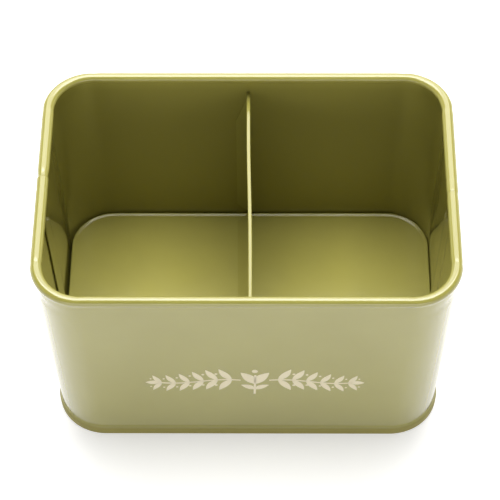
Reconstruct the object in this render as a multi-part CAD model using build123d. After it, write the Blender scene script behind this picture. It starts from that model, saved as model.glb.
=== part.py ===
from build123d import *
import math
import os

# A garden seed organizer box: an open sheet-steel tin with leaning walls, a wired rim, a raised floor and
# one fixed divider. Millimetres. X runs along the box, the front faces -Y, Z is up, and the origin is
# in the middle of the ring that the box stands on.

# ---- driving sizes ------------------------------------------------------------------------------
sheet = 0.45                # steel sheet of the two wall shells
fit_gap = 0.05              # paint film between sheets that are pressed together
seam_gap = 0.1              # slit where the rims of the two shells meet

rim_length = 200.3          # X, between the centre lines of the rolled rim
rim_depth = 141.4           # Y, between the centre lines of the rolled rim
rim_centre_z = 117.2        # height of the rolled rim's centre line
curl_width = 5.3            # the roll, across
curl_height = 5.0           # the roll, top to bottom
curl_proud = 1.1            # how far the roll stands out past the wall
wire_diameter = 3.6         # steel wire that the rim is rolled around
wire_end_gap = 0.6          # between the wire's two ends

corner_radius = 23.5        # outside of the wall's corners, the same at every height
wall_lean = 3.05            # degrees, each wall leans in towards the base

lap_half = 5.0              # the shells' rims meet this far from the middle of each short side
tongue_reach = 9.0          # the inner shell's tongue ends this far past the middle of the short side
joggle_length = 1.2         # step where the tongue goes one sheet inwards
tongue_clearance = 0.3      # between the tongue and the rim above it, and the floor below it

floor_top = 15.4            # inside floor, above the surface that the box stands on
pan_sheet = 0.5             # steel sheet of the base pan
floor_bend = 1.3            # outer radius of the bend at the floor's edge
band_height = 5.2           # seam around the foot of the walls
band_leg = 1.1              # outer leg of the seam: the sheet folded double
band_web = 0.9              # underside of the seam
band_round = 0.4            # rounding of the seam's two outer edges

divider_x = 1.3             # middle plane of the divider's web
divider_sheet = 0.5
divider_top = 106.5
divider_hem_width = 1.8     # rounded fold along the divider's top edge
divider_hem_height = 2.6
divider_hem_round = 0.7     # radius of the fold along the top edge
flange_width = 6.5          # three flanges, all folded towards -X
flange_slope = 18.0         # the end flanges are cut down at their top outer corner
end_clearance = 0.25        # between the divider's web and the end walls

# ---- worked out ---------------------------------------------------------------------------------
lean = math.tan(math.radians(wall_lean))
wall_beyond_rim = curl_width / 2 - curl_proud
far = rim_length + rim_depth            # reaches past the whole box, for cutting


def wall_half_length(z):
    """Half the wall's outside length at height z: it leans in below the rim."""
    return rim_length / 2 + wall_beyond_rim - lean * (rim_centre_z - z)


def wall_half_depth(z):
    """Half the wall's outside depth at height z."""
    return rim_depth / 2 + wall_beyond_rim - lean * (rim_centre_z - z)


def outline(z, inset):
    """The wall's outside outline at height z, moved inwards by inset."""
    plan = RectangleRounded(
        2 * (wall_half_length(z) - inset),
        2 * (wall_half_depth(z) - inset),
        corner_radius - inset,
    )
    return Pos(0, 0, z) * plan


def leaning_block(inset, low, high):
    """A solid block with the wall's leaning sides, moved inwards by inset."""
    return loft([outline(low, inset), outline(high, inset)], ruled=True)


def leaning_ring(outer_inset, inner_inset, low, high):
    """A leaning sheet between two insets of the wall's outside."""
    return leaning_block(outer_inset, low, high) - leaning_block(inner_inset, low, high)


def span(x_low, x_high, y_low, y_high):
    """A tall block over a stretch of the plan, for keeping part of a ring."""
    block = Box(x_high - x_low, y_high - y_low, far)
    return Pos((x_low + x_high) / 2, (y_low + y_high) / 2, 0) * block


# ---- the two wall shells ------------------------------------------------------------------------
def rolled_rim(left_end, right_end):
    """The front half of the hollow rolled rim, from the left side's end to the right side's end."""
    half_x = rim_length / 2
    half_y = rim_depth / 2
    corners = [(-half_x, left_end), (-half_x, -half_y), (half_x, -half_y), (half_x, right_end)]
    radius = corner_radius - wall_beyond_rim
    path = Pos(0, 0, rim_centre_z) * FilletPolyline(*corners, radius=radius)
    start = Plane(origin=(-half_x, left_end, rim_centre_z), x_dir=(1, 0, 0), z_dir=(0, -1, 0))
    solid_roll = sweep(start * Ellipse(curl_width / 2, curl_height / 2), path=path)
    hollow = sweep(start * Ellipse(curl_width / 2 - sheet, curl_height / 2 - sheet), path=path)
    return solid_roll - hollow


def wall_top():
    """Height where the middle of the wall's sheet meets the middle of the roll's sheet."""
    across = (wall_beyond_rim - sheet / 2) / (curl_width / 2 - sheet / 2)
    return rim_centre_z - (curl_height / 2 - sheet / 2) * math.sqrt(1 - across**2)


def make_shell():
    """The front shell: wall, corners, half of each short side, rolled rim and the tongue on the right."""
    foot = band_web + fit_gap
    left_end = lap_half - seam_gap / 2
    right_end = -lap_half - seam_gap / 2
    kept = span(-far, 0, -far, left_end) + span(0, far, -far, right_end)
    wall = leaning_ring(0, sheet, foot, wall_top()) & kept

    tongue_low = floor_top + tongue_clearance
    tongue_high = rim_centre_z - curl_height / 2 - tongue_clearance
    outer = sheet + fit_gap
    inner = outer + sheet
    tongue = leaning_ring(outer, inner, tongue_low, tongue_high) & span(0, far, right_end, tongue_reach)
    step = leaning_ring(0, inner, tongue_low, tongue_high) & span(0, far, right_end - joggle_length, right_end)
    return wall + step + tongue + rolled_rim(left_end, right_end)


# ---- the wire in the rim ------------------------------------------------------------------------
def make_rim_wire():
    """One bent wire: its two ends meet at the middle of the left side."""
    half_x = rim_length / 2
    half_y = rim_depth / 2
    half_gap = wire_end_gap / 2
    corners = [
        (-half_x, -half_gap),
        (-half_x, -half_y),
        (half_x, -half_y),
        (half_x, half_y),
        (-half_x, half_y),
        (-half_x, half_gap),
    ]
    path = Pos(0, 0, rim_centre_z) * FilletPolyline(*corners, radius=corner_radius - wall_beyond_rim)
    start = Plane(origin=(-half_x, -half_gap, rim_centre_z), x_dir=(1, 0, 0), z_dir=(0, -1, 0))
    return sweep(start * Circle(wire_diameter / 2), path=path)


# ---- the base pan -------------------------------------------------------------------------------
def make_base_pan():
    """Raised floor with a skirt turned down inside the walls and a seam folded up around their foot."""
    skirt = sheet + fit_gap
    tray = leaning_block(skirt, 0, floor_top)
    tray = fillet(tray.edges().group_by(Axis.Z)[-1], floor_bend)
    hollow = leaning_block(skirt + pan_sheet, 0, floor_top - pan_sheet)
    hollow = fillet(hollow.edges().group_by(Axis.Z)[-1], floor_bend - pan_sheet)

    seam = leaning_block(-fit_gap - band_leg, 0, band_height)
    outer_edges = seam.edges().group_by(Axis.Z)
    seam = fillet(outer_edges[0] + outer_edges[-1], band_round)
    seam -= leaning_block(-fit_gap, band_web, band_height)
    seam -= leaning_block(skirt + pan_sheet, 0, band_web)
    return (tray - hollow) + seam


# ---- the divider --------------------------------------------------------------------------------
def wall_inside(z, gap):
    """Distance from the middle to the long wall's inside at height z, less a gap."""
    return wall_half_depth(z) - sheet - gap


def plate(points, x_low, x_high):
    """A flat plate with its outline in the YZ plane, between two X positions."""
    face = make_face(Polyline(*[(x_low, y, z) for y, z in points], close=True))
    return extrude(face, amount=x_high - x_low, dir=(1, 0, 0))


def end_flange(side, web_x, low, high):
    """The flange that lies on the front (side -1) or rear (side 1) wall, cut down at its outer corner."""
    face_y = [side * wall_inside(z, fit_gap) for z in (low, high)]
    back_y = [y - side * divider_sheet for y in face_y]
    outline_points = [(face_y[0], low), (face_y[1], high), (back_y[1], high), (back_y[0], low)]
    flange = plate(outline_points, web_x - flange_width, web_x)
    corner = Polyline(
        (web_x - flange_width, 0, high),
        (web_x, 0, high),
        (web_x - flange_width, 0, high - flange_slope),
        close=True,
    )
    cut = extrude(make_face(corner), amount=far / 2, dir=(0, side, 0))
    return flange - cut


def make_divider():
    """Web, folded top edge, and a flange on each long wall and on the floor."""
    low = floor_top + fit_gap
    web_x = divider_x - divider_sheet / 2
    hem_low = divider_top - divider_hem_height
    web_outline = []
    for side, z in ((-1, low), (1, low), (1, divider_top - fit_gap), (-1, divider_top - fit_gap)):
        web_outline.append((side * wall_inside(z, end_clearance), z))
    web = plate(web_outline, web_x, web_x + divider_sheet)

    hem_reach = wall_inside(hem_low, end_clearance)
    hem = Box(divider_hem_width, 2 * hem_reach, divider_hem_height)
    hem = fillet(hem.edges().filter_by(Axis.Y).group_by(Axis.Z)[-1], divider_hem_round)
    hem = Pos(divider_x, 0, divider_top - divider_hem_height / 2) * hem

    floor_reach = wall_inside(low, fit_gap)
    floor_flange = Box(flange_width + divider_sheet, 2 * floor_reach, divider_sheet)
    floor_flange = Pos(web_x - flange_width / 2 + divider_sheet / 2, 0, low + divider_sheet / 2) * floor_flange
    return web + hem + floor_flange + end_flange(-1, web_x, low, hem_low) + end_flange(1, web_x, low, hem_low)


# ---- write every piece --------------------------------------------------------------------------
front_shell = make_shell()
pieces = {
    "front_shell": front_shell,
    "rear_shell": Rot(0, 0, 180) * front_shell,
    "rim_wire": make_rim_wire(),
    "base_pan": make_base_pan(),
    "divider": make_divider(),
}

os.makedirs("parts", exist_ok=True)
for name, piece in pieces.items():
    export_step(piece, f"parts/{name}.step")
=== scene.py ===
# %% [markdown]
# # A painted tin for seed packets
# The object is an open box of thin steel sheet, coated with a glossy olive-lime paint. Its shape is simple,
# so everything that makes it look real is in the small things: the roll at the rim, the seam at the foot,
# the bend at the edge of the floor, the lap on the short sides, and a paint skin that is never quite flat.
# The frame holds the five pieces at their size. The wire keeps its frame shape, and each of the other four
# is shown here by a finer surface that follows it.

import math

import bmesh
import bpy
import numpy as np
from mathutils import Matrix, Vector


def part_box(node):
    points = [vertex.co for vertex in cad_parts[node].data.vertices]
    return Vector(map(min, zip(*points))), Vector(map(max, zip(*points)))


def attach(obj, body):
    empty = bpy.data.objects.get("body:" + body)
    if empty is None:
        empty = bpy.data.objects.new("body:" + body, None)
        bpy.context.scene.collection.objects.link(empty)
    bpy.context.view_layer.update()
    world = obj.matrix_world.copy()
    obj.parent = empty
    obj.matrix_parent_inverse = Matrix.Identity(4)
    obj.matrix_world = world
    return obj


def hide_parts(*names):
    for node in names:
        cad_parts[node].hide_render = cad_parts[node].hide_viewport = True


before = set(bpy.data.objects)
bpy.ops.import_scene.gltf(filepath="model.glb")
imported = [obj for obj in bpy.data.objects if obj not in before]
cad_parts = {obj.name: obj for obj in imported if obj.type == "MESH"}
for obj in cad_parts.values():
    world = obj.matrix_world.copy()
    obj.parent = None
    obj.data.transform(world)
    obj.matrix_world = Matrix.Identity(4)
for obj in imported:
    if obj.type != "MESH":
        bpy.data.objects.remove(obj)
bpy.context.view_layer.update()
mm = 0.001

# %% [markdown]
# ## The sizes that every piece shares
# The walls lean in towards the base, and their corners keep one radius at every height. So each point of the
# sheet is known from three things: where it is around the box, its height, and how far it is inside the
# wall's outside face. A tapered cube with bevelled edges is quicker to make, but it gives no sheet that can
# be rolled and folded. The overall size is read from the frame, and the sheet's own sizes are named here.

# %% Shared sizes
shell_low, shell_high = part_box("front_shell")
pan_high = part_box("base_pan")[1]
divider_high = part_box("divider")[1]

sheet = 0.45 * mm
fit = 0.05 * mm
curl_half_width = 2.65 * mm
curl_half_height = 2.5 * mm
curl_proud = 1.1 * mm
corner_radius = 23.5 * mm
lean = math.tan(math.radians(3.05))
lap_half = 5.0 * mm
foot_z = 0.95 * mm

rim_z = shell_high.z - curl_half_height
wall_beyond_rim = curl_half_width - curl_proud
top_half_length = shell_high.x - curl_proud
top_half_depth = -shell_low.y - curl_proud
floor_z = pan_high.z
print(f"rim at {rim_z / mm:.1f} mm")
print(f"wall there {2 * top_half_length / mm:.1f} x {2 * top_half_depth / mm:.1f} mm")


def half_length(z):
    """Half the wall's outside length at height z: the top half length less the lean times the drop."""
    return top_half_length - lean * (rim_z - z)


def half_depth(z):
    """Half the wall's outside depth at height z."""
    return top_half_depth - lean * (rim_z - z)


# %% [markdown]
# ## Going around the box
# A path around the box is a list of stations. A station holds the corner whose centre it belongs to, as two
# signs between -1 and 1, and the direction that the wall faces there. On a straight side the sign slides
# from one corner to the next and the direction stays; on a corner the sign stays and the direction turns.
# A side that ends at a seam slides towards a fixed Y instead, so that the seam is straight up and down. A
# curve with a bevel profile could go around too, but then the corners would tighten towards the base.

# %% Stations
arc_steps = 30
side_steps = 64


def turn(sign_x, sign_y, start, stop):
    """Stations of one corner: the facing angle goes evenly from start to stop, in degrees."""
    angle = np.radians(np.linspace(start, stop, arc_steps + 1))
    ones = np.ones_like(angle)
    return np.stack([sign_x * ones, sign_y * ones, 0 * ones, 0 * ones, angle], axis=1)


def side(start, stop, facing, steps=side_steps):
    """Stations of one straight side. start and stop are (sign x, sign y, share of fixed Y, fixed Y)."""
    share = np.linspace(0, 1, steps + 1)[:, None]
    signs = (1 - share) * np.array(start) + share * np.array(stop)
    return np.concatenate([signs, np.full_like(share, math.radians(facing))], axis=1)


def joined(*stretches):
    """One path from several stretches that share their end stations: each but the first drops its first."""
    return np.concatenate([stretches[0]] + [s[1:] for s in stretches[1:]])


def around(path, inset, z):
    """Points for every station (rows) and every profile place (columns).

    A point is its corner's centre at that height, plus the facing direction times (radius - inset)."""
    sign_x, sign_y, share, fixed_y, angle = (path[:, i, None] for i in range(5))
    centre_x = sign_x * (half_length(z) - corner_radius)
    centre_y = (1 - share) * sign_y * (half_depth(z) - corner_radius) + share * fixed_y
    reach = corner_radius - inset
    x = centre_x + np.cos(angle) * reach
    y = centre_y + np.sin(angle) * reach
    return np.stack([x, y, np.broadcast_to(z, x.shape)], axis=2)


def wall_line(path, z):
    """Points of the wall's outside face at height z, one for each station."""
    return around(path, np.zeros((len(path), 1)), np.full((1, 1), z))[:, 0]


def travel(path, z):
    """Distance along the wall's outside face at height z: the lengths between stations, added up."""
    steps = np.linalg.norm(np.diff(wall_line(path, z), axis=0), axis=1)
    return np.concatenate([[0], np.cumsum(steps)])


print(f"a corner has {arc_steps} steps, a side {side_steps} or more")

# %% [markdown]
# ## From arrays to faces
# A grid of points becomes a surface by joining each point to the next one along both directions. The faces
# are made as one array of numbers, with no loop over points. A direction can close on itself, and a tube's
# open ends get a face each, so that every piece of sheet is a closed skin.

# %% Faces of a grid
def quads(rows, columns, close_rows=False, close_columns=False):
    """Corner numbers of every quad of a grid, wrapping round where a direction closes on itself."""
    r = np.arange(rows if close_rows else rows - 1)
    c = np.arange(columns if close_columns else columns - 1)
    r, c = (a.ravel() for a in np.meshgrid(r, c, indexing="ij"))
    r2 = (r + 1) % rows
    c2 = (c + 1) % columns
    return np.stack([r * columns + c, r2 * columns + c, r2 * columns + c2, r * columns + c2], axis=1)


def patch(grid, close_rows=False, close_columns=False, capped=False, inside=0.0):
    """(points, faces, share inside) of one grid. capped closes the first and last row of a tube with a face.

    inside says how far each point lies inside the box, from 0 to 1; the paint darkens with it as painted
    shade."""
    rows, columns = grid.shape[:2]
    faces = quads(rows, columns, close_rows, close_columns).tolist()
    if capped:
        faces.append(list(range(columns)))
        faces.append(list(range((rows - 1) * columns, rows * columns))[::-1])
    return grid.reshape(-1, 3), faces, np.broadcast_to(inside, grid.shape[:2]).ravel()


print(f"a grid of 3 x 4 points has {len(quads(3, 4))} faces")

# %% [markdown]
# ## From faces to pieces
# Patches of one piece are joined into one object at the origin, which rides on the same body as its frame
# node. Points that meet are merged first, because only then do the normals agree on which side is out. Edges
# that fold sharply are marked sharp, so the sheet's raw edges stay crisp while its bends shade smoothly.

# %% Pieces
merge_distance = 0.002 * mm


def make_piece(name, patches, material, replaced=(), sharp_degrees=38):
    """Joins patches into one object whose faces point outwards, with its place in its mesh."""
    points = []
    faces = []
    inside = []
    count = 0
    for patch_points, patch_faces, patch_inside in patches:
        points.append(patch_points)
        inside.append(patch_inside)
        faces += [[i + count for i in face] for face in patch_faces]
        count += len(patch_points)
    mesh = bpy.data.meshes.new(name)
    mesh.from_pydata(np.concatenate(points).tolist(), [], faces)
    # The inside share goes to the paint as an attribute, which darkens the colour with it as painted shade.
    mesh.attributes.new("inside", "FLOAT", "POINT").data.foreach_set("value", np.concatenate(inside))
    work = bmesh.new()
    work.from_mesh(mesh)
    bmesh.ops.remove_doubles(work, verts=work.verts, dist=merge_distance)
    bmesh.ops.recalc_face_normals(work, faces=work.faces)
    work.to_mesh(mesh)
    work.free()
    mesh.shade_smooth()
    mesh.set_sharp_from_angle(angle=math.radians(sharp_degrees))
    piece = bpy.data.objects.new(name, mesh)
    bpy.context.scene.collection.objects.link(piece)
    mesh.materials.append(material)
    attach(piece, "root")
    if replaced:
        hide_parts(*replaced)
    print(f"{name}: {len(mesh.polygons)} faces")


# %% [markdown]
# ## Writing shaders as sums
# A shader graph can be drawn by hand in the node editor, but it is easier to read as an expression. A small
# class wraps one socket, so that adding or multiplying two of them makes the Math node in between, and one
# function makes every node.

# %% Shader helper
def new_node(tree, kind, settings=None, **inputs):
    """Makes a node of a kind, sets its settings first, then fills the sockets named by inputs.

    A socket goes by its number, as i0 or i1, or by its own name, with _ for each space."""
    made = tree.nodes.new(kind)
    for key, value in (settings or {}).items():
        setattr(made, key, value)
    for key, value in inputs.items():
        socket = made.inputs[int(key[1:])] if key[1:].isdigit() else made.inputs[key.replace("_", " ")]
        if isinstance(value, Wire):
            tree.links.new(value.socket, socket)
        else:
            socket.default_value = value
    return made


class Wire:
    """One output socket of a node tree, with the arithmetic that the finishes use."""

    def __init__(self, tree, socket):
        self.tree = tree
        self.socket = socket

    def node(self, kind, settings=None, **inputs):
        """A new node in this wire's own tree."""
        return new_node(self.tree, kind, settings, **inputs)

    def _maths(self, operation, first, second):
        made = self.node("ShaderNodeMath", {"operation": operation}, i0=first, i1=second)
        return Wire(self.tree, made.outputs[0])

    def __add__(self, other):
        return self._maths("ADD", self, other)

    def __radd__(self, other):
        return self._maths("ADD", other, self)

    def __sub__(self, other):
        return self._maths("SUBTRACT", self, other)

    def __rsub__(self, other):
        return self._maths("SUBTRACT", other, self)

    def __mul__(self, other):
        return self._maths("MULTIPLY", self, other)

    def __rmul__(self, other):
        return self._maths("MULTIPLY", other, self)

    def between(self, low, high):
        """0 below low, 1 above high and a straight ramp in between."""
        made = self.node("ShaderNodeMapRange", {"clamp": True}, Value=self, From_Min=low, From_Max=high)
        return Wire(self.tree, made.outputs[0])

    def height(self):
        """The upright part of a place, in metres, or of a direction."""
        made = self.node("ShaderNodeSeparateXYZ", i0=self)
        return Wire(self.tree, made.outputs["Z"])

    def noise(self, scale, detail, roughness=0.5):
        """Cloudy values from 0 to 1, when self is a place on the object. scale counts blobs in a metre."""
        made = self.node("ShaderNodeTexNoise", Vector=self, Scale=scale, Detail=detail, Roughness=roughness)
        return Wire(self.tree, made.outputs["Fac"])

    def blend(self, first, second):
        """The colour between first and second that self, from 0 to 1, picks."""
        made = self.node("ShaderNodeMix", {"data_type": "RGBA"}, i0=self, i6=first, i7=second)
        return Wire(self.tree, made.outputs[2])


def new_finish(name):
    """An empty material with a Principled shader: returns it, its shader and the place on the object."""
    material = bpy.data.materials.new(name)
    material.use_nodes = True
    tree = material.node_tree
    shader = tree.nodes["Principled BSDF"]
    place = new_node(tree, "ShaderNodeTexCoord")
    return material, shader, Wire(tree, place.outputs["Object"])


def join(wire, shader, socket):
    """Leads a wire into one of the shader's sockets."""
    wire.tree.links.new(wire.socket, shader.inputs[socket])


print("finishes: one wire for each socket, one function for every node")

# %% [markdown]
# ## The paint
# The finish is like a powder coat, a thick, glossy skin that is melted onto the steel. Three things give
# such a skin away. Its colour drifts a little, its gloss is uneven where hands have dulled it, and it has
# orange peel, a shallow ripple a millimetre or two across that breaks up every reflection. A painted image
# could hold all three, but soft noises on the object's own coordinates stay sharp from near.

# %% Paint
olive = (0.365, 0.335, 0.078, 1)
olive_deep = (0.345, 0.315, 0.070, 1)
olive_seam = (0.325, 0.285, 0.066, 1)
# The next colour is painted shade: a darker copy of olive for the inner faces, standing in for the shade
# inside the box.
olive_painted_shade = (0.300, 0.274, 0.060, 1)
# The next colour is painted light: olive made about a tenth lighter for the floor, which faces the lamp.
olive_floor_painted_light = (0.400, 0.366, 0.086, 1)

drift_blobs = 28
dull_blobs = 60
peel_blobs = 420
fine_peel_blobs = 1300
fine_peel_share = 0.35
peel_height = 0.02 * mm
peel_strength = 0.10
glossy_roughness = 0.13
coat_roughness = 0.03
paint_index = 1.5
hand_dulling = 0.06
seam_dulling = 0.3
seam_fade = 1.2 * mm


def make_paint(name, light, deep, roughness, dull_below=0.0, gloss=0.8):
    """Glossy powder coat: drifting colour, uneven gloss, and orange peel as a bump.

    Below the height dull_below the coat is deeper and duller, as paint is that has gathered in a seam.
    Inside the box it is deeper too: painted shade, in place of the shade that the box's own walls cast on
    its inner faces."""
    material, shader, place = new_finish(name)
    drift = place.noise(drift_blobs, 3).between(0.3, 0.7)
    seam = 1 - place.height().between(dull_below - seam_fade, dull_below)
    attribute = place.node("ShaderNodeAttribute", {"attribute_name": "inside"})
    inside = Wire(place.tree, attribute.outputs["Fac"])
    # Inside the box the colour goes towards the darker olive: painted shade.
    coat = inside.blend(drift.blend(light, deep), olive_painted_shade)
    join(seam.blend(coat, olive_seam), shader, "Base Color")
    dulled = place.noise(dull_blobs, 4, 0.6).between(0.35, 0.75)
    join(roughness + hand_dulling * dulled + seam_dulling * seam, shader, "Roughness")
    join(gloss - gloss * seam, shader, "Coat Weight")
    shader.inputs["IOR"].default_value = paint_index
    shader.inputs["Coat Roughness"].default_value = coat_roughness
    shader.inputs["Coat IOR"].default_value = paint_index
    peel = place.noise(peel_blobs, 2) + fine_peel_share * place.noise(fine_peel_blobs, 1)
    bump = place.node("ShaderNodeBump", Height=peel, Strength=peel_strength, Distance=peel_height)
    join(Wire(place.tree, bump.outputs[0]), shader, "Normal")
    print(f"{name}: roughness from {roughness:.2f}, coat {gloss:.2f}")
    return material


shell_paint = make_paint("shell_paint", olive, olive_deep, glossy_roughness)
# The pan's light colour is the lighter floor olive: painted light on the upward floor.
pan_paint = make_paint("pan_paint", olive_floor_painted_light, olive, roughness=0.20, dull_below=6.0 * mm, gloss=0.25)
divider_paint = make_paint("divider_paint", olive, olive_deep, glossy_roughness)

# %% [markdown]
# ## The profile of the wall
# Cut across, a shell is one strip of sheet: up the outside, out and over the wire at the rim, round under
# it, and down the inside. The roll is an ellipse that is nearly round, since it was closed over a round
# wire. A short curve joins the wall to the roll, because sheet can't turn a corner of no radius. A Solidify
# modifier could thicken a single skin, but here the sheet closes on itself, so the outline is one loop.

# %% Wall profile
wall_rows = 46
curl_steps = 56
crease_reach = 0.9 * mm
crease_turn = math.radians(14)


def roll_point(angle):
    """(inset, z) of the roll at an angle: an ellipse about the rim's centre line, 0 facing outwards."""
    z = rim_z + curl_half_height * np.sin(angle)
    outwards = curl_half_width * np.cos(angle)
    return wall_beyond_rim - lean * (rim_z - z) - outwards, z


def soft_corner(first, corner, last, steps=6):
    """Points between first and last that bend towards a corner: a quadratic curve, ends left out."""
    t = np.linspace(0, 1, steps + 2)[1:-1, None]
    curve = (1 - t) ** 2 * np.array(first) + 2 * t * (1 - t) * np.array(corner) + t**2 * np.array(last)
    return curve[:, 0], curve[:, 1]


def wall_profile():
    """(inset, z, share of roll) of the closed loop: outside wall, crease, roll, inside wall."""
    start = -math.acos(wall_beyond_rim / curl_half_width)
    stop = math.radians(360) - math.acos((wall_beyond_rim - sheet) / curl_half_width)
    meet_z = roll_point(start)[1]
    outside_z = np.linspace(foot_z, meet_z - crease_reach, wall_rows)
    roll_inset, roll_z = roll_point(np.linspace(start + crease_turn, stop, curl_steps))
    crease_inset, crease_z = soft_corner(
        (0, outside_z[-1]), (0, meet_z), (roll_inset[0], roll_z[0])
    )
    inside_z = np.linspace(roll_z[-1], foot_z, wall_rows)[1:]
    inset = np.concatenate([0 * outside_z, crease_inset, roll_inset, sheet + 0 * inside_z])
    z = np.concatenate([outside_z, crease_z, roll_z, inside_z])
    rolled = np.concatenate([0 * outside_z, 0 * crease_z, np.ones(curl_steps), 0 * inside_z])
    return inset, z, rolled


print(f"the wall's outline has {len(wall_profile()[0])} points, {curl_steps} of them on the roll")

# %% [markdown]
# ## Two soft steps
# Nothing on sheet metal starts or stops at a line. Every dent, fade and lift below is one of two curves: a
# bell around a place, or a smooth step from one place to another.

# %% Bell and fade
def bump_along(distance, centre, width):
    """A bell of height 1 around a centre: e to the minus square of the distance over the width."""
    return np.exp(-(((distance - centre) / width) ** 2))


def fade(value, low, high):
    """Smooth step from 0 at low to 1 at high: 3t squared less 2t cubed."""
    t = np.clip((value - low) / (high - low), 0, 1)
    return t * t * (3 - 2 * t)


print(f"a fade from 0 to 1 is at {fade(0.25, 0, 1):.2f} a quarter of the way")

# %% [markdown]
# ## Why the wall isn't flat
# A wall of half-millimetre sheet is pulled in by its folds and its bends, and the light shows it. Each side
# ripples by a tenth of a millimetre or so. Near the rim, the corners carry a shallow crease where the sheet
# was squeezed as the roll went round, and the roll itself is pinched where each corner starts and ends. A
# bump in the paint could fake the ripple, but then the mesh itself would stay flat.

# %% Hand-made unevenness
middle_z = rim_z / 2
wave_depth = 0.1 * mm
long_wave = 31 * mm
short_wave = 17 * mm
short_share = 0.6
lap_calm = 12.0 * mm
corner_calm = 0.7
crease_drop = 10.5 * mm
crease_rise = 1.6 * mm
crease_width = 1.3 * mm
crease_depth = 0.32 * mm
pinch = 0.06
pinch_length = 1.7 * mm


def low_waves(distance, length, z):
    """Outward push from the distance along a path of a given length and the height: two sine waves.

    They die away at the foot, at the rim and at the path's ends, where folds and seams hold the sheet."""
    height = (z - foot_z) / (rim_z - foot_z)
    from_end = np.minimum(distance, length - distance)
    free = fade(height, 0, 0.25) * fade(1 - height, 0, 0.2) * fade(from_end, lap_calm, 3 * lap_calm)
    long_part = np.sin(distance / long_wave + 4.1 * height)
    short_part = np.sin(distance / short_wave - 6.3 * height + 1)
    return wave_depth * (long_part + short_share * short_part) * free


def corner_share(path):
    """1 in the middle of a corner and 0 on the straight sides: sine of twice the facing angle, squared."""
    return np.sin(2 * path[:, 4]) ** 2


def unevenness(path, z):
    """Outward push for each station and height: low waves, calmer at the corners, less the corner crease."""
    distance = travel(path, middle_z)[:, None]
    cornered = corner_share(path)[:, None]
    crease_z = rim_z - crease_drop + crease_rise * (1 - cornered)
    crease = bump_along(z, crease_z, crease_width) * cornered
    waves = low_waves(distance, distance[-1], z) * (1 - corner_calm * cornered)
    return waves - crease_depth * crease


def front_push(path, x, z):
    """The push at places on the front wall, whose distance along the path is read off its stations."""
    on_front = np.isclose(path[:, 4], math.radians(270))
    station_x = wall_line(path, middle_z)[on_front, 0]
    distance = travel(path, middle_z)
    return low_waves(np.interp(x, station_x, distance[on_front]), distance[-1], z)


def corner_ends(path):
    """1 where a corner starts or ends, fading over a millimetre or two along the path."""
    distance = travel(path, rim_z)
    turning = np.abs(np.diff(path[:, 4], prepend=path[0, 4])) > 1e-6
    switch = np.nonzero(np.diff(turning.astype(int)) != 0)[0]
    return sum(bump_along(distance, distance[i], pinch_length) for i in switch)


print(f"ripple up to {(1 + short_share) * wave_depth / mm:.2f} mm, crease {crease_depth / mm:.2f} mm")

# %% [markdown]
# ## The two shells
# Both shells are the same pressing. The left end of a shell lies outside, and its right end steps inwards by
# one sheet and slips under the other shell as a tongue. The second shell is the first one turned half round.
# The roll shows how it was made: it is smaller where it was squeezed for the lap, it has a dent a little way
# past the lap, and it is wider towards the inside on the short sides. Sculpting could do that too, but
# shares of the roll's size, set along the path, can be changed one by one.

# %% The path and the roll
front = 1
rear = -1
lap_squeeze = {front: 0.06, rear: 0.14}
bare_end = {front: 0.14, rear: 0.06}
squeeze_length = 6.0 * mm
sleeve_length = 8.0 * mm
sleeve_dent = 0.045
dent_length = 0.9 * mm
roll_size = 0.99
end_round = (-0.2 * mm, 1.0 * mm)
fine_share = 0.95
fine_steps = 14


def shell_path():
    """Stations from the left seam, in finer steps there, round both front corners to the right seam."""
    left_y = lap_half - fit
    right_y = -lap_half - fit
    return joined(
        side((-1, -1, 1, left_y), (-1, -1, fine_share, left_y), 180, fine_steps),
        side((-1, -1, fine_share, left_y), (-1, -1, 0, left_y), 180),
        turn(-1, -1, 180, 270),
        side((-1, -1, 0, 0), (1, -1, 0, 0), 270, 2 * side_steps),
        turn(1, -1, 270, 360),
        side((1, -1, 0, right_y), (1, -1, 1, right_y), 360),
    )


def roll_share(path, turned):
    """The roll's size at each station, 1 being full: less at both laps, the dent and the corners' ends.

    The lap on the right was closed more gently than the one on the left, so each shell has its own squeeze
    before its right seam and its own smaller end at its left one."""
    distance = travel(path, rim_z)
    before_lap = fade(distance, distance[-1] - squeeze_length, distance[-1])
    rounded_end = 1 - fade(distance, *end_round)
    at_laps = lap_squeeze[turned] * before_lap + bare_end[turned] * rounded_end
    dent = sleeve_dent * bump_along(distance, sleeve_length, dent_length)
    return roll_size - at_laps - dent - pinch * corner_ends(path)


shell_stations = shell_path()
rim_run = travel(shell_stations, rim_z)[-1]
print(f"a shell has {len(shell_stations)} stations and runs {rim_run / mm:.0f} mm at the rim")

# %% [markdown]
# ## Wall and tongue
# The wall is the profile carried along the path, with the low waves added below the roll. The tongue is a
# strip of its own inside the wall, which shows as two faint upright lines: the step where it leaves the
# wall, and its raw edge, which springs off the other shell a little. It could be one surface with the wall,
# but then the roll would have to end before the sheet does.

# %% Shells
side_widening = 0.23
# Below the roll, the painted shade on the inner face grows over this depth.
painted_shade_fade = 8 * mm
tongue_reach = 9.0 * mm
tongue_thickness = 0.9 * sheet
tongue_sunk = 0.6 * sheet
tongue_foot = 0.3 * mm
tongue_head = 0.1 * mm
joggle = 3.0 * mm
joggle_stations = 9
lap_stations = 16
edge_lift = 0.25 * mm
edge_lift_length = 4 * mm


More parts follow.
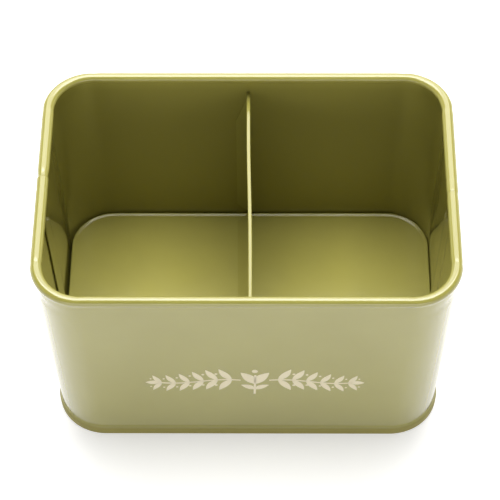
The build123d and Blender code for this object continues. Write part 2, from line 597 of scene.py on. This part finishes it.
def shell_patch(path, turned):
    """The profile carried along the path, its roll sized along the way and widened inwards on short sides.

    turned is -1 for the shell that is turned half round about the upright axis: x and y change sign."""
    inset, z, rolled = wall_profile()
    size = 1 + (roll_share(path, turned)[:, None] - 1) * rolled
    short_side = np.cos(path[:, 4, None]) ** 2
    widened = 1 + side_widening * short_side * rolled * (inset > wall_beyond_rim)
    inset_here = wall_beyond_rim + (inset - wall_beyond_rim) * size * widened
    z_here = rim_z + (z - rim_z) * size
    grid = around(path, inset_here, z_here)
    push = unevenness(path, z_here) * (1 - rolled)
    facing = path[:, 4, None]
    grid[:, :, 0] += np.cos(facing) * push
    grid[:, :, 1] += np.sin(facing) * push
    # The inside share darkens the paint as painted shade: 0 on the roll, growing down the inner face.
    inner_side = (np.arange(len(z)) > wall_rows + curl_steps) * (1 - rolled)
    inside = inner_side * fade(rim_z - z, curl_half_height, curl_half_height + painted_shade_fade)
    turned_grid = grid * np.array([turned, turned, 1])
    return patch(turned_grid, close_columns=True, capped=True, inside=inside[None, :])


def tongue_patch(turned):
    """The tongue: a thin strip of sheet, from the step before the seam to its raw edge beyond it.

    Its outer face stays sunk in the wall or behind it, so that nothing of it shows on the outside."""
    stepping = np.linspace(-lap_half - joggle, -lap_half, joggle_stations)
    along = np.concatenate([stepping, np.linspace(-lap_half, tongue_reach, lap_stations)[1:]])
    path = np.zeros((len(along), 5))
    path[:, 0] = 1
    path[:, 2] = 1
    path[:, 3] = along
    inner = 2 * sheet + fit
    lifted = edge_lift * fade(along, tongue_reach - edge_lift_length, tongue_reach)
    step = (sheet + (inner - sheet) * fade(along, -lap_half - joggle, -lap_half) + lifted)[:, None]
    low = floor_z + tongue_foot
    high = rim_z - curl_half_height - tongue_head
    z = np.concatenate([np.linspace(low, high, wall_rows), np.linspace(high, low, wall_rows)])
    outer_side = np.arange(2 * wall_rows) < wall_rows
    inset = np.where(outer_side[None, :], np.maximum(step - tongue_thickness, tongue_sunk), step)
    grid = around(path, inset, z[None, :] + 0 * inset) * np.array([turned, turned, 1])
    # The whole tongue gets the full inside share, so the full painted shade.
    return patch(grid, close_columns=True, capped=True, inside=1.0)


for name, node, turned in (("front_wall", "front_shell", front), ("rear_wall", "rear_shell", rear)):
    patches = [shell_patch(shell_stations, turned), tongue_patch(turned)]
    make_piece(name, patches, shell_paint, [node])

# %% [markdown]
# ## The base pan's profile
# The pan is a shallow tray turned upside down. Its floor stands above the ground, its edge bends down into a
# skirt, and the skirt's end folds out and up around the foot of the walls. That fold is the band outside. A
# plane and a separate band would give the same colours, but the dark line around the floor comes from the
# bend and the gap behind it, so the whole section is drawn.

# %% Pan profile
pan_sheet = 0.5 * mm
floor_bend = 0.8 * mm
lip_height = 0.36 * mm
lip_width = 1.6 * mm
lip_reach = 7.0 * mm
web = 0.9 * mm
band_height = 5.2 * mm
band_leg = 1.1 * mm
band_edge = 0.05 * mm
band_round = 0.45 * mm
flare = 1.3 * mm
flat_steps = 5
lip_steps = 12
flank_steps = 12


def arc(centre, radius, start, stop, steps=8):
    """(inset, z) on a circle, from a start to a stop angle in degrees, 0 towards a larger inset."""
    angle = np.radians(np.linspace(start, stop, steps + 1))
    return np.stack([centre[0] + radius * np.cos(angle), centre[1] + radius * np.sin(angle)], axis=1)


def pan_profile():
    """(inset, z, upper) of the section: lip, floor's edge, skirt, band, and back up inside.

    The floor goes on from its first point above and its last point below. upper is 1 on the points that move
    inwards where the skirt stands off the wall, and 0 at the foot."""
    skirt = sheet + fit
    bend_z = floor_z - floor_bend
    band_out = -fit - band_leg
    flat_run = np.linspace(lip_reach, lip_width, flat_steps + 1)[:-1]
    rising_run = np.linspace(lip_width, 0, lip_steps + 1)[:-1]
    from_bend = np.concatenate([flat_run, rising_run])
    lip_z = floor_z - lip_height * fade(from_bend, 0, lip_width)
    lip = np.stack([skirt + floor_bend + from_bend, lip_z], axis=1)
    outer_bend = np.concatenate([lip, arc((skirt + floor_bend, bend_z), floor_bend, 90, 180)])
    pocket = [(skirt, web), (-fit, web), (-fit, band_height + flare)]
    share = np.linspace(0, 1, flank_steps + 1)[1:]
    flank_inset = -fit - band_edge - (band_leg - band_edge) * fade(share, 0, 1)
    flank_z = band_height + flare - (2 * flare) * share
    flank = np.stack([flank_inset, flank_z], axis=1)
    heel = arc((band_out + band_round, band_round), band_round, 180, 270)
    toe = arc((skirt + pan_sheet - band_round, band_round), band_round, 270, 360)
    inner_bend = arc((skirt + floor_bend, bend_z), floor_bend - pan_sheet, 180, 90)
    under_lip = lip[::-1] - np.array([0, pan_sheet])
    inner_bend = np.concatenate([inner_bend, under_lip])
    foot = np.concatenate([pocket, flank, heel, toe])
    upper = np.repeat([1.0, 0.0, 1.0], [len(outer_bend), len(foot), len(inner_bend)])
    inset, z = np.concatenate([outer_bend, foot, inner_bend]).T
    return inset, z, upper


print(f"the pan's section has {len(pan_profile()[0])} points")

# %% [markdown]
# ## The base pan
# The section goes once around the box, and the floor fills its two edges as rings that shrink to the middle.
# One big face would fill them too, but it couldn't sink. The floor sinks a little in each compartment, as
# thin sheet does between the bends that hold it. The skirt doesn't sit evenly in the walls: it stands off
# most on the left and least on the right.

# %% Pan
floor_sag = 0.45 * mm
floor_rings = 26
held_edge = 0.12
gap_around = 0.62 * mm
gap_leftwards = 0.49 * mm
gap_backwards = 0.20 * mm


def ring_path():
    """Stations once around the whole box. The last one meets the first."""
    return joined(
        side((-1, 1, 0, 0), (-1, -1, 0, 0), 180),
        turn(-1, -1, 180, 270),
        side((-1, -1, 0, 0), (1, -1, 0, 0), 270),
        turn(1, -1, 270, 360),
        side((1, -1, 0, 0), (1, 1, 0, 0), 360),
        turn(1, 1, 360, 450),
        side((1, 1, 0, 0), (-1, 1, 0, 0), 450),
        turn(-1, 1, 450, 540),
    )[:-1]


def floor_disc(edge, shares):
    """The floor inside an edge loop: each point of the edge times a share, less its compartment's sag.

    The sag is a sine across the compartment times a cosine along it, and fades out beside the held edge."""
    grid = edge[:, None, :] * shares[None, :, None]
    grid[:, :, 2] = edge[:, None, 2]
    reach_x = np.abs(edge[:, 0]).max()
    reach_y = np.abs(edge[:, 1]).max()
    x = grid[:, :, 0] / reach_x
    y = grid[:, :, 1] / reach_y
    bowl = np.sin(math.pi * np.abs(x)) * np.cos(math.pi / 2 * y)
    grid[:, :, 2] -= floor_sag * bowl * fade(1 - shares, 0, held_edge)
    return grid


ring = ring_path()
inset, z, upper = pan_profile()
facing = ring[:, 4]
stand_off = gap_around - gap_leftwards * np.cos(facing) + gap_backwards * np.sin(facing)
band_grid = around(ring, inset[None, :] + stand_off[:, None] * upper[None, :], z[None, :])
shares = np.linspace(0, 1, floor_rings)
top_disc = floor_disc(band_grid[:, 0], shares)
under_disc = floor_disc(band_grid[:, -1], shares[::-1])
pan_grid = np.concatenate([top_disc[:, :-1], band_grid, under_disc[:, 1:]], axis=1)
make_piece("floor_pan", [patch(pan_grid, close_rows=True)], pan_paint, ["base_pan"])

# %% [markdown]
# ## The divider
# The divider is one sheet with its two ends and its bottom folded to the same side, so that it can be welded
# to the walls and the floor. The folds meet in mitres. A flat plate with a Solidify modifier would show no
# folds, so each fold is a short profile, thickened along its normals and carried up the wall or along the
# floor. The flanges follow the same low waves as the wall they lie on, or the two would cross.

# %% Folded flanges
divider_sheet = 0.5 * mm
divider_rows = 40
divider_columns = 60
hem_width = 1.8 * mm
hem_height = 2.6 * mm
flange_width = 6.5 * mm
flange_slope = 18.0 * mm
skew = 0.0128
set_left = 0.25 * mm
fold_radius = 0.9 * mm
web_x = divider_high.x - hem_width / 2 - set_left
divider_top = divider_high.z
flange_top = divider_top - hem_height
floor_contact = floor_z - lip_height + fit
print(f"divider's top at {divider_top / mm:.1f} mm, flanges {flange_width / mm:.1f} mm wide")


def wall_inside(z, gap):
    """Distance from the middle plane to a long wall's inside face at height z, less a gap."""
    return half_depth(z) - sheet - gap


def fold_profile():
    """(towards -X, back from the face it lies on) of one folded flange: web, fold, flange."""
    quarter = np.radians(np.linspace(0, 90, 9))
    fold_out = fold_radius * (1 - np.cos(quarter))
    fold_back = fold_radius * (1 - np.sin(quarter))
    flat_out = np.linspace(fold_radius, flange_width, 6)[1:]
    return np.concatenate([fold_out, flat_out]), np.concatenate([fold_back, 0 * flat_out])


def thick(middle_out, middle_back):
    """A closed loop around a bent line: the line pushed half a sheet to both sides along its normal."""
    line = np.stack([middle_out, middle_back], axis=1)
    along = np.gradient(line, axis=0)
    normal = np.stack([-along[:, 1], along[:, 0]], axis=1)
    normal /= np.linalg.norm(normal, axis=1)[:, None]
    half = divider_sheet / 2
    return np.concatenate([line + half * normal, (line - half * normal)[::-1]])


def flange_grid(side_sign):
    """A flange on the front (-1) or rear (1) wall: the fold carried up the wall, mitred at its foot.

    shell_x is the flange's place as the front shell has it, since the rear one is turned half round."""
    out, back = thick(*fold_profile()).T
    back = back + divider_sheet / 2
    share = np.linspace(0, 1, divider_rows)[:, None]
    foot = floor_contact + divider_sheet + np.maximum(out, 0)[None, :]
    head = flange_top - flange_slope / flange_width * np.maximum(out, 0)[None, :]
    z = foot + share * (head - foot)
    x = web_x - np.broadcast_to(out[None, :], z.shape)
    shell_x = -side_sign * (x - skew * side_sign * half_depth(z))
    pushed = front_push(shell_stations, shell_x, z)
    y = side_sign * (wall_inside(z, fit) - back[None, :] + pushed)
    return np.stack([x, y, z], axis=2)


def floor_flange_grid():
    """The flange on the floor: the same fold carried from wall to wall, mitred at both ends."""
    out, back = thick(*fold_profile()).T
    back = back + divider_sheet / 2
    share = np.linspace(-1, 1, divider_columns)[:, None]
    reach = wall_inside(floor_contact, fit + divider_sheet) - np.maximum(out, 0)[None, :]
    y = share * reach
    z = np.broadcast_to(floor_contact + back[None, :], y.shape)
    x = web_x - np.broadcast_to(out[None, :], y.shape)
    return np.stack([x, y, z], axis=2)


# %% [markdown]
# ## The web and its hem
# The web is the upright sheet between the folds. Its top edge is folded down on itself, which makes it safe
# to touch and gives the bright rounded line across the middle of the box. A plain round tube would be
# simpler, but the folded edge is flat-sided. The whole divider stands a little askew, so it is slid
# sideways along the walls after it is made straight.

# %% Web and hem
web_bow = 0.25 * mm
web_head = 0.4 * mm
hem_gap = 0.25 * mm
hem_crown = 0.30 * mm
hem_tuck = 0.75


def bow(share, z):
    """Sideways bow of the web, 0 at both walls: a cosine along it times a sine that drifts with height."""
    return web_bow * np.cos(share * math.pi / 2) * np.sin(3 * share + 25 * z)


def web_grid():
    """The upright sheet between the folds: a thin box whose long sides lean with the walls."""
    half = divider_sheet / 2
    rows = np.linspace(floor_contact + fold_radius, divider_top - web_head, divider_rows)
    columns = np.linspace(-1, 1, divider_columns)
    z, share = np.meshgrid(rows, columns, indexing="ij")
    reach = wall_inside(z, fit + fold_radius)
    face = np.stack([web_x + bow(share, z), share * reach, z], axis=2)
    front_face = face + np.array([half, 0, 0])
    back_face = face - np.array([half, 0, 0])
    return np.concatenate([front_face, back_face[:, ::-1]], axis=1)


def hem_grid():
    """The folded top edge: a narrow loop, tucked in at its foot and round on top, from wall to wall."""
    half = hem_width / 2
    turned = np.radians(np.linspace(0, 180, 13))
    top_x = half * np.cos(turned)
    top_z = divider_top - hem_crown + hem_crown * np.sin(turned)
    shoulder_z = flange_top + 0.25 * (hem_height - hem_crown)
    x = np.concatenate([[half * hem_tuck, half], top_x, [-half, -half * hem_tuck]])
    z = np.concatenate([[flange_top, shoulder_z], top_z, [shoulder_z, flange_top]])
    share = np.linspace(-1, 1, divider_columns)[:, None]
    y = share * wall_inside(z, hem_gap)[None, :]
    across = web_x + x[None, :] + bow(share, divider_top)
    return np.stack([across, y, np.broadcast_to(z, y.shape)], axis=2)


def skewed(grid):
    """The grid slid along the walls: x falls by the skew times y."""
    return np.stack([grid[:, :, 0] - skew * grid[:, :, 1], grid[:, :, 1], grid[:, :, 2]], axis=2)


folded = [web_grid(), hem_grid(), flange_grid(-1), flange_grid(1), floor_flange_grid()]
divider_parts = [patch(skewed(grid), close_columns=True, capped=True) for grid in folded]
make_piece("divider_sheet", divider_parts, divider_paint, ["divider"])

# %% [markdown]
# ## The wire
# The wire inside the roll is never seen, but it is a real piece. A new surface for it would show nothing, so
# it keeps its frame shape and gets a plain drawn-steel finish.

# %% Wire finish
steel_grey = (0.45, 0.45, 0.44, 1)
drawn_blobs = 900
wire_steel, wire_shader, wire_place = new_finish("drawn_wire")
wire_shader.inputs["Metallic"].default_value = 1
wire_shader.inputs["Base Color"].default_value = steel_grey
join(0.3 + 0.2 * wire_place.noise(drawn_blobs, 2), wire_shader, "Roughness")
rim_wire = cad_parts["rim_wire"]
rim_wire.data.materials.clear()
rim_wire.data.materials.append(wire_steel)
print(f"{rim_wire.name}: {wire_steel.name}")

# %% [markdown]
# ## The printed ornament
# The front carries a band of cream screen print. Here it is a plain garland: a stem with paired leaves that
# grow smaller towards both ends, and a seedling in the middle. A mask in the paint could draw it too, but
# ink has an edge and a thickness, so each leaf is a thin patch of its own laid on the wall, which stays
# sharp from any distance. The patch follows the wall's lean and its low waves.

# %% Ink
ink_colour = (0.84, 0.76, 0.55, 1)
ink_worn_colour = (0.80, 0.72, 0.50, 1)
ink_blobs = 700
ink_finish, ink_shader, ink_place = new_finish("cream_ink")
ink_worn = ink_place.noise(ink_blobs, 3).between(0.3, 0.8)
join(ink_worn.blend(ink_colour, ink_worn_colour), ink_shader, "Base Color")
join(0.35 + 0.1 * ink_worn, ink_shader, "Roughness")

print_centre_x = 3.9 * mm
print_centre_z = 49.0 * mm
ink_lift = 0.03 * mm
ink_depth = 1.5 * ink_lift
print(f"print centred {print_centre_z / mm:.0f} mm up, {print_centre_x / mm:.1f} mm to the right")


def ink_patch(x, z, whole_turn=False):
    """A thin closed slab of ink over a flat grid of places: its outside face and its back, joined.

    A slab that goes a whole turn has no ends to cap, since its last row meets its first."""
    wall_y = -half_depth(z) - front_push(shell_stations, x, z)
    outer = np.stack([x, wall_y - ink_lift, z], axis=2)
    inner = outer + np.array([0, ink_depth, 0])
    grid = np.concatenate([outer, inner[:, ::-1]], axis=1)
    return [patch(grid, close_rows=whole_turn, close_columns=True, capped=not whole_turn)]


# %% [markdown]
# ## Leaves, stems and seeds
# Three shapes make the whole ornament. Each one is a flat grid of places around its own root, which the slab
# above lays on the wall. They are drawn with sines and circles, so no outline is stored point by point.

# %% Shapes of ink
ring_shares = np.array([0.02, 0.6, 1.0])
seed_steps = 16
print(f"a seed has {seed_steps} sides")


def leaf(root_x, root_z, length, angle, half_width, curve):
    """A leaf: a mid line from its root, bent by curve. Its width is about a sine of the way along."""
    along = np.linspace(0.02, 0.98, 16)[:, None]
    across = np.linspace(-1, 1, 5)[None, :]
    half = half_width * np.sin(math.pi * along**0.85) ** 0.9
    forward = along * length
    sideways = across * half + curve * length * along * (1 - along)
    x = root_x + forward * math.cos(angle) - sideways * math.sin(angle)
    z = root_z + forward * math.sin(angle) + sideways * math.cos(angle)
    return ink_patch(print_centre_x + x, print_centre_z + z)


def stem(points_x, points_z, half_width):
    """A stem: a ribbon of even width along a line, pushed both ways along the line's normal."""
    line = np.stack([points_x, points_z], axis=1)
    direction = np.gradient(line, axis=0)
    normal = np.stack([-direction[:, 1], direction[:, 0]], axis=1)
    normal /= np.linalg.norm(normal, axis=1)[:, None]
    across = np.linspace(-1, 1, 3)[None, :, None]
    ribbon = line[:, None, :] + across * half_width * normal[:, None, :]
    return ink_patch(print_centre_x + ribbon[:, :, 0], print_centre_z + ribbon[:, :, 1])


def seed(x, z, radius):
    """A round dot of ink: rings of growing radius about its middle."""
    angle = np.linspace(0, 2 * math.pi, seed_steps + 1)[:-1, None]
    ring_radius = ring_shares[None, :] * radius
    return ink_patch(
        print_centre_x + x + ring_radius * np.cos(angle),
        print_centre_z + z + ring_radius * np.sin(angle),
        whole_turn=True,
    )


# %% [markdown]
# ## The garland
# A border is often built from a repeat, and so is this one: a pair of leaves and a pair of buds, set along a
# waving stem and made smaller at each step. An Array modifier could repeat one pair in a straight row, but a
# loop can also follow the wave and shrink each pair. The second half is the first one mirrored, and the
# seedling stands in the gap between them.

# %% Garland
print_half_width = 48.0 * mm
wave_height = 1.8 * mm
wave_length = 8.6 * mm
stem_start = 7 * mm
stem_half_width = 0.5 * mm
leaf_pairs = 6
first_leaf = 11.5 * mm
leaf_spacing = 6.9 * mm
shrink = 0.06
leaf_length = 11.5 * mm
leaf_half_width = 1.9 * mm
leaf_angle = math.radians(57)
leaf_curve = 0.14
bud_along = 7.6 * mm
bud_rise = 5.1 * mm
bud_radius = 0.75 * mm
tip_back = 1 * mm
tip_length = 7 * mm
tip_half_width = 1.6 * mm
sprout_curve = 0.2
upright = math.pi / 2


def leaf_pair(way, i):
    """Two leaves and two buds, above and below the stem. Each pair is further out and smaller."""
    reach = first_leaf + leaf_spacing * i
    size = 1 - shrink * i
    root_z = wave_height * math.sin(reach / wave_length)
    pair = []
    for up in (-1, 1):
        heading = up * leaf_angle if way > 0 else math.pi - up * leaf_angle
        curve = -leaf_curve * up * way
        pair += leaf(way * reach, root_z, leaf_length * size, heading, leaf_half_width * size, curve)
        bud_x = reach + bud_along * size
        pair += seed(way * bud_x, root_z + up * bud_rise * size, bud_radius * size)
    return pair


def garland_half(way):
    """One half of the garland: a waving stem, the pairs along it, and a single leaf at its end."""
    run = np.linspace(stem_start, print_half_width, 60)
    wave = wave_height * np.sin(run / wave_length)
    half = stem(way * run, wave, stem_half_width)
    for i in range(leaf_pairs):
        half += leaf_pair(way, i)
    tip = way * (print_half_width - tip_back)
    heading = 0 if way > 0 else math.pi
    return half + leaf(tip, wave[-1], tip_length, heading, tip_half_width, 0)


def seedling():
    """The middle: an upright stem with a large and a small leaf on each side, and a seed on top."""
    parts = []
    for way in (-1, 1):
        parts += leaf(0, -2 * mm, 12.5 * mm, upright - way * 0.60, 2.7 * mm, sprout_curve * way)
        parts += leaf(0, -7 * mm, 8.0 * mm, upright - way * 1.05, 1.7 * mm, sprout_curve * way)
    parts += stem(np.linspace(-0.2, 0.2, 12) * mm, np.linspace(-11.5, 6, 12) * mm, 0.55 * mm)
    return parts + seed(0, 9.5 * mm, 1.5 * mm)


garland = garland_half(-1) + garland_half(1) + seedling()
make_piece("front_print", garland, ink_finish, sharp_degrees=60)

# %% [markdown]
# ## Camera
# A long lens from well above the front edge: close enough for the sides to draw together, far enough for the
# box to keep its proportions. A Track To constraint could aim it, but the view also leans a little to one
# side, so its three directions are worked out from its pitch, yaw and roll.

# %% Camera
pitch = math.radians(52.0)
yaw = 0.014
roll = -0.010
aim = np.array([1.7 * mm, -39.8 * mm, rim_z])
camera_reach = 1.080
lens = 163.2
film_width = 36

right = np.array([math.cos(yaw), math.sin(yaw), 0])
forward = np.array([-math.sin(yaw) * math.cos(pitch), math.cos(yaw) * math.cos(pitch), -math.sin(pitch)])
upward = np.cross(right, forward)
tilted_right = right * math.cos(roll) + upward * math.sin(roll)
tilted_up = upward * math.cos(roll) - right * math.sin(roll)

camera_data = bpy.data.cameras.new("camera")
camera_data.sensor_width = film_width
camera_data.lens = lens
camera = bpy.data.objects.new("camera", camera_data)
bpy.context.scene.collection.objects.link(camera)
stand = np.eye(4)
stand[:3, 0] = tilted_right
stand[:3, 1] = tilted_up
stand[:3, 2] = -forward
stand[:3, 3] = aim - forward * camera_reach
camera.matrix_world = Matrix(stand.tolist())
bpy.context.scene.camera = camera
bpy.context.scene.view_settings.view_transform = "Standard"
print(f"camera {camera_reach:.2f} m from its aim, looking down {math.degrees(pitch):.0f} degrees")

# %% [markdown]
# ## Studio
# A white table and a white sky. The table shows itself as plain white to the camera and to reflections, and
# keeps a soft shadow under the box. More light would whiten it too, but it would bleach the paint with it,
# so the table gets a little light of its own instead. The lamps are wide and soft.

# %% Table and sky
paper_white = (0.77, 0.765, 0.76, 1)
table_reach = 3.0
light_to_camera = 0.55
light_to_reflections = 0.50
sky_fade = (0.15, 0.45)


def make_table():
    """A flat white table: diffuse paper, with a little light that only the camera and reflections see."""
    mesh = bpy.data.meshes.new("table_top")
    corners = [(x * table_reach, y * table_reach, 0) for x, y in ((-1, -1), (1, -1), (1, 1), (-1, 1))]
    mesh.from_pydata(corners, [], [(0, 1, 2, 3)])
    table = bpy.data.objects.new("table_top", mesh)
    bpy.context.scene.collection.objects.link(table)
    material, shader, place = new_finish("white_table")
    shader.inputs["Base Color"].default_value = paper_white
    shader.inputs["Roughness"].default_value = 0.7
    shader.inputs["Specular IOR Level"].default_value = 0.1
    shader.inputs["Emission Color"].default_value = (1, 1, 1, 1)
    ray = place.node("ShaderNodeLightPath")
    camera_ray = Wire(place.tree, ray.outputs["Is Camera Ray"])
    glossy_ray = Wire(place.tree, ray.outputs["Is Glossy Ray"])
    own_light = light_to_camera * camera_ray + light_to_reflections * glossy_ray
    join(own_light, shader, "Emission Strength")
    mesh.materials.append(material)


def make_sky(overhead, horizon):
    """A studio world: white walls low down that fade to a dim ceiling, and plain white to the camera."""
    world = bpy.data.worlds.new("studio_sky")
    world.use_nodes = True
    bpy.context.scene.world = world
    tree = world.node_tree
    background = tree.nodes["Background"]
    background.inputs["Color"].default_value = (1, 1, 1, 1)
    place = new_node(tree, "ShaderNodeTexCoord")
    height = Wire(tree, place.outputs["Generated"]).height().between(*sky_fade)
    ray = new_node(tree, "ShaderNodeLightPath")
    camera_ray = Wire(tree, ray.outputs["Is Camera Ray"])
    light = horizon + (overhead - horizon) * height
    level = light + (1 - light) * camera_ray
    join(level, background, "Strength")


make_table()
make_sky(overhead=0.04, horizon=1.0)
print(f"table {2 * table_reach:.0f} m wide")

# %% [markdown]
# ## Lamps
# One wide lamp hangs over the box and lights its floor and rim. A panel further back adds to the bright
# lines on the rims, and a weak strip in front opens the shade on the front wall. Small lamps would give hard
# shadows and point-like glints, which soft studio light doesn't have.

# %% Lamps
lamp_target = (0, 0, 0.05)


def make_lamp(name, place, size, power):
    """A rectangular soft lamp that faces the lamp target."""
    data = bpy.data.lights.new(name, "AREA")
    data.shape = "RECTANGLE"
    data.size, data.size_y = size
    data.energy = power
    lamp = bpy.data.objects.new(name, data)
    bpy.context.scene.collection.objects.link(lamp)
    lamp.location = place
    towards = np.array(lamp_target) - np.array(place)
    flat = math.hypot(towards[0], towards[1])
    lamp.rotation_euler = (math.atan2(flat, -towards[2]), 0, math.atan2(-towards[0], towards[1]))
    print(f"{name}: {power} W over {size[0]} x {size[1]} m")


make_lamp("top_lamp", place=(0.0, 0.33, 1.50), size=(1.4, 0.95), power=31)
make_lamp("rear_panel", place=(0.0, 1.25, 1.30), size=(1.8, 1.0), power=19)
make_lamp("front_fill", place=(0.0, -2.2, 0.35), size=(3.0, 0.6), power=12.5)
